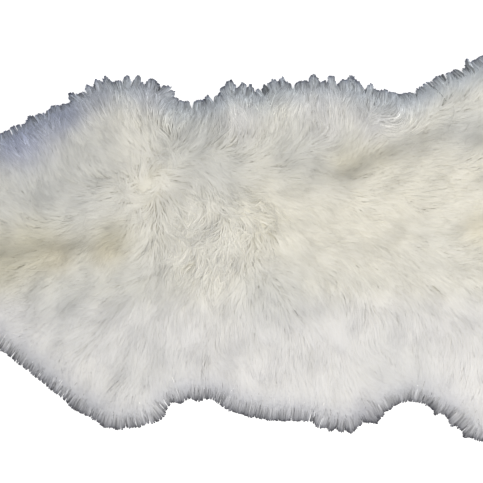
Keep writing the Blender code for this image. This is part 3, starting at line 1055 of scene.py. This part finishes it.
# %% Gather the points in lobes
LOBE_ODDS = ((0.2, 0.4, 0.4), (0.45, 0.4, 0.15))  # how often a lobe takes one, two or three points
NOTCH = ((0, 0.8 * MM), (0, 4.5 * MM))  # how far inside the line notches are
CROWN = ((1.6, 2.2), (1.1, 2.7))  # from a pointed lobe to a blunt one with steep sides
VIGOUR = ((0.1, 0.5), (0.5, 1.1))  # how much of its full reach a lobe gets
LEAN = (0.06, 0.18)  # radians that a lobe leans to one side
SKEW = ((0.1, 0.3), (0.1, 0.7))  # how far its peak lies to one side
Lobe = namedtuple("Lobe", "start end far notch crown vigour lean skew")
Stretch = namedtuple("Stretch", "far x_from x_to times")
STRETCHES = (  # where lobes are calmer or bolder than on the rest of their side
    Stretch(1, -600 * MM, -340 * MM, 0.4), Stretch(1, -155 * MM, -105 * MM, 0.25),
    Stretch(1, 185 * MM, 275 * MM, 0.3), Stretch(1, 340 * MM, 600 * MM, 0.6),
    Stretch(0, 60 * MM, 155 * MM, 2.6),
)


def lobe_from(first, last, far):
    """The lobe that takes the points from first to last."""
    before = marks[first - 1] - (rim_length if first == 0 else 0)
    after = marks[(last + 1) % len(points)] + (rim_length if last == len(points) - 1 else 0)
    skew = chance.choice((-1, 1)) * chance.uniform(*SKEW[far])
    vigour = chance.uniform(*VIGOUR[far])
    for stretch in STRETCHES:
        if stretch.far == far and stretch.x_from < points[first, 0] < stretch.x_to:
            vigour *= stretch.times
    return Lobe(
        (before + marks[first]) / 2, (marks[last] + after) / 2, far,
        chance.uniform(*NOTCH[far]), chance.uniform(*CROWN[far]), vigour, chance.normal(0, LEAN[far]), skew,
    )


lobes = []
first = 0
while first < len(points):
    far = int(points[first, 1] > 0)
    last = min(first + chance.choice(3, p=LOBE_ODDS[far]), len(points) - 1)
    lobes.append(lobe_from(first, last, far))
    first = last + 1
print("they gather in", len(lobes), "lobes")

# %% Wisps, the strands that make a lobe
WISP_SPACING = 2.6 * MM
LEAST_WISPS = 3
WISP_PLACE = (0.2, 0.8)  # where a wisp stands in its own step of the lobe

rows = []
for number, lobe in enumerate(lobes):
    length = lobe.end - lobe.start
    count = max(LEAST_WISPS, round(length / WISP_SPACING))
    across = (np.arange(count) + chance.uniform(*WISP_PLACE, count)) / count * 2 - 1
    crown = 1 - np.abs(across + lobe.skew * (1 - across**2)) ** lobe.crown
    mark = (lobe.start + lobe.end) / 2 + across * length / 2
    rows.append(np.stack([mark, across * length, crown, np.full(count, number)], axis=1))
wisp_mark, wisp_offset, wisp_crown, wisp_lobe = np.vstack(rows).T
wisp_lobe = wisp_lobe.astype(int)
print("the lobes have", len(wisp_mark), "wisps")


# %% Where each wisp leaves the rim
def on_rim(mark):
    """The places this far along the softened rim, and the way straight out from each."""
    number = mark / mark_step % len(rim)
    low = number.astype(int) % len(rim)
    part = (number - number.astype(int))[:, None]
    place = rim[low] + (rim[(low + 1) % len(rim)] - rim[low]) * part
    return place, -unit(np.stack([read(inward_x, *place.T), read(inward_y, *place.T)], axis=1))


wisp_base, wisp_out = on_rim(wisp_mark)
wisp_far = wisp_base[:, 1] > 0
print(wisp_far.sum(), "of the wisps are on the far side")

# %% How far each wisp reaches
REACH_MORE = 2.5 * MM  # fibres thin out at their ends, so they run a little past the solid's points
RAGGED = (0.6 * MM, 1.1 * MM)  # how much the wisps' ends differ
PEAK, PEAK_SHARE = 3 * MM, 0.06  # a few stand out as single points on the far side
DIP_PLACE = (-132 * MM, 233 * MM)  # a dip in the far rim, which wool nearly closes
DIP_REACH = 16 * MM
DIP_FILL = 4 * MM


def by_side(pair, is_far):
    """Each one's own value from a pair for the near side and the far side."""
    return np.array(pair)[is_far.astype(int)]


wisp_lean, wisp_notch, wisp_vigour = (
    np.array([getattr(lobe, field) for lobe in lobes])[wisp_lobe] for field in ("lean", "notch", "vigour")
)
wisp_reach = np.interp(wisp_mark, marks, reaches, period=rim_length) + REACH_MORE
middling = (wisp_reach - wisp_notch) / 2
wisp_end = middling + wisp_vigour * ((wisp_reach + wisp_notch) * wisp_crown - wisp_notch - middling)
wisp_end += chance.normal(0, 1, len(wisp_mark)) * by_side(RAGGED, wisp_far)
wisp_end += wisp_far * (chance.random(len(wisp_mark)) < PEAK_SHARE) * PEAK
dip_gap = np.hypot(*(wisp_base - DIP_PLACE).T) / DIP_REACH
wisp_end += DIP_FILL * np.exp(-(dip_gap**2))
print("the wisps end up to", round(wisp_end.max() / MM, 1), "mm out")

# %% How light each wisp is, and its painted light and shade
WISP_DUSK = ((0.35, 0.95), (0.35, 1.1))  # how much painted shade greys a wisp's end
CREASE = (0.2, 0.42)  # how much lower wool lies along the sides of a lobe
WISP_UNEVEN = (0.19, 0.26)  # how much the wisps' tones differ
CREST_TONE, CREASE_SHADE = 1.04, 0.9  # painted light on a lobe's crest, and painted shade down in a crease

wisp_dusk = chance.uniform(*by_side(WISP_DUSK, wisp_far).T)
wisp_sunk = by_side(CREASE, wisp_far) * (1 - wisp_crown) ** 2 * wisp_vigour
wisp_tone = chance.normal(1, by_side(WISP_UNEVEN, wisp_far)) * (CREST_TONE - CREASE_SHADE * wisp_sunk)
print("a wisp's end is on average", round(wisp_dusk.mean(), 2), "of the way to grey")

# %% Where a wisp's fibres run
WISP_STEPS = 6
STEP_CROWDING = 2.4  # above 1, steps are shorter towards the tip, where the shape matters
WISP_ROOTS = (14 * MM, 58 * MM)  # how far behind the rim these fibres start
FILLER_SHARE = 0.45  # shorter fibres that spread more, so that no floor shows between wisps
FILLER_SHORT = (1 * MM, 4 * MM)
WISP_SHORT = 0.9 * MM  # how much any of them may fall short
ROOT_SPREAD, ROOT_CURVE = 1.6 * MM, 1.2
TIP_SPREAD, FILLER_SPREAD = 0.5 * MM, 1.5 * MM
LOBE_GATHER = (0.01, 0.05)  # how much a lobe's wisps draw together
LEAN_ARM = 0.4  # the share of a fibre's length over which it leans


def wisp_places(wisp_of, back, filler):
    """The places of these wisps' fibres, node by node, and how far each node is from its wisp's end."""
    count, t = len(wisp_of), np.linspace(0, 1, WISP_STEPS)[None]
    out = wisp_out[wisp_of]
    side = np.stack([-out[:, 1], out[:, 0]], axis=1)
    reach = back + wisp_end[wisp_of] - np.abs(chance.normal(0, WISP_SHORT, count))
    reach -= filler * chance.uniform(*FILLER_SHORT, count)
    s = 1 - (1 - t) ** STEP_CROWDING
    apart = chance.normal(0, ROOT_SPREAD, count)[:, None] * (1 - s) ** ROOT_CURVE
    tip_spread = chance.normal(0, 1, count) * np.where(filler, FILLER_SPREAD, TIP_SPREAD)
    apart = apart + tip_spread[:, None] * s
    gather = wisp_offset[wisp_of] * by_side(LOBE_GATHER, wisp_far[wisp_of])
    lean = (wisp_lean[wisp_of] * back * LEAN_ARM - gather)[:, None] * s**2
    places = wisp_base[wisp_of][:, None] + out[:, None] * (reach[:, None] * s - back[:, None])[..., None]
    left = np.maximum((wisp_end[wisp_of] + back)[:, None] - reach[:, None] * s, 0)
    return places + side[:, None] * (apart + lean)[..., None], left


# %% Grow the rim
FIBRES_A_WISP = 19
END_DUSK_REACH = (5.5 * MM, 2.4 * MM)  # the last few millimetres of a wisp are painted grey, as they lie in its own shade
FADED_DUSK, DUSK_FADE = 0.24, 15 * MM  # and a fainter painted shade runs further in
WISP_LAYERS = (0.65, 1.05)
WISP_PROUD = 1.2 * MM
WISP_BROADER = 1.25  # these fibres are a little broader, because nothing closes the gaps under them
UNEVEN = (0.09, 0.2)  # how much the tones of one wisp's fibres differ


def rim_fibres(name, chosen):
    """The fibres of the chosen wisps, which start apart and draw together at the rim."""
    wisp_of = np.repeat(np.flatnonzero(chosen), FIBRES_A_WISP)
    count, far = len(wisp_of), wisp_far[wisp_of]
    back = chance.uniform(*WISP_ROOTS, count)
    filler = chance.random(count) < FILLER_SHARE
    places, left = wisp_places(wisp_of, back, filler)
    # Painted shade: the end of each wisp is greyed, and more faintly further in.
    dusk = wisp_dusk[wisp_of][:, None] * np.exp(-left / by_side(END_DUSK_REACH, far)[:, None])
    dusk = dusk + FADED_DUSK * np.exp(-left / DUSK_FADE)
    layer = chance.uniform(*WISP_LAYERS, count) - wisp_sunk[wisp_of]
    lift = np.abs(chance.normal(0, WISP_PROUD, count))
    width = chance.uniform(*FIBRE_WIDTH, count) * WISP_BROADER
    tone = wisp_tone[wisp_of] * (1 + chance.normal(0, 1, count) * by_side(UNEVEN, far))
    return dress(name, places, layer, lift, width, tone, roll=0.25, blunt=0.2, dusk=dusk)


rim_fibres("rim_locks_far", wisp_far)
rim_fibres("rim_locks_near", ~wisp_far)

# %% [markdown]
# ## Floor, light and camera
# The rug lies on a plain white floor. A big soft light from the near side of the rump is the key, as late
# sun through a wide window would be, and a dim cool sky fills the far side. The floor glows a little of
# its own, as the lit table does on which such cut-out pictures are taken.

# %% The floor
bpy.ops.mesh.primitive_plane_add(size=12)
floor = bpy.context.object
floor.name = "floor"
paper, paper_shader = new_material("white_paper")
paper_shader.inputs["Base Color"].default_value = (0.6, 0.6, 0.6, 1)
paper_shader.inputs["Emission Color"].default_value = (1, 1, 1, 1)
paper_shader.inputs["Emission Strength"].default_value = 0.75
paper_shader.inputs["Roughness"].default_value = 0.9
paper_shader.inputs["Specular IOR Level"].default_value = 0.0
floor.data.materials.append(paper)
floor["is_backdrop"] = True
print("the floor is", round(floor.dimensions.x), "m wide")


# %% The lights
def soft_light(name, place, size, power, colour):
    """A square area light that looks at the rug's middle."""
    data = bpy.data.lights.new(name, "AREA")
    data.size = size
    data.energy = power
    data.color = linear(colour)
    light = bpy.data.objects.new(name, data)
    light.location = place
    light.rotation_euler = (-Vector(place)).to_track_quat("-Z", "Y").to_euler()
    bpy.context.scene.collection.objects.link(light)
    return light


key = soft_light("key", place=(1.1, -1.1, 2.8), size=2.6, power=87, colour="#fefaf4")

world = bpy.data.worlds.new("pale_room")
world.use_nodes = True
sky = world.node_tree.nodes["Background"]
sky.inputs["Color"].default_value = (*linear("#f3f5fb"), 1)
sky.inputs["Strength"].default_value = 0.53
bpy.context.scene.world = world
bpy.context.scene.view_settings.view_transform = "Standard"
bpy.context.scene.cycles.diffuse_bounces = 8  # light goes deep into white wool before it comes out
print("the key light is", round(key.location.length, 1), "m away and", round(key.data.size, 1), "m wide")

# %% The camera
AIM = Vector((-49.6 * MM, 8.8 * MM, 20 * MM))
ELEVATION = math.radians(82)
DISTANCE = 3.2
FRAME_WIDTH = 767 * MM  # what the picture spans at the rug

camera_data = bpy.data.cameras.new("camera")
camera_data.lens = camera_data.sensor_width * DISTANCE / FRAME_WIDTH
camera = bpy.data.objects.new("camera", camera_data)
camera.location = AIM + DISTANCE * Vector((0, -math.cos(ELEVATION), math.sin(ELEVATION)))
camera.rotation_euler = (AIM - camera.location).to_track_quat("-Z", "Y").to_euler()
bpy.context.scene.collection.objects.link(camera)
bpy.context.scene.camera = camera
print("the lens is", round(camera_data.lens), "mm long")

# %% [markdown]
# ## The size
# Wool may stand a little proud of the solid, but the rug must stay the size that it was built. This cell
# prints how far each corner of the wool's box lies from the solid's.

# %% Both boxes
look_low, look_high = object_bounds()
for end, cad, look in (("low", cad_low, look_low), ("high", cad_high, look_high)):
    apart = [round((b - a) / MM, 1) for a, b in zip(cad, look)]
    print("the wool's", end, "corner lies", apart, "mm from the solid's")
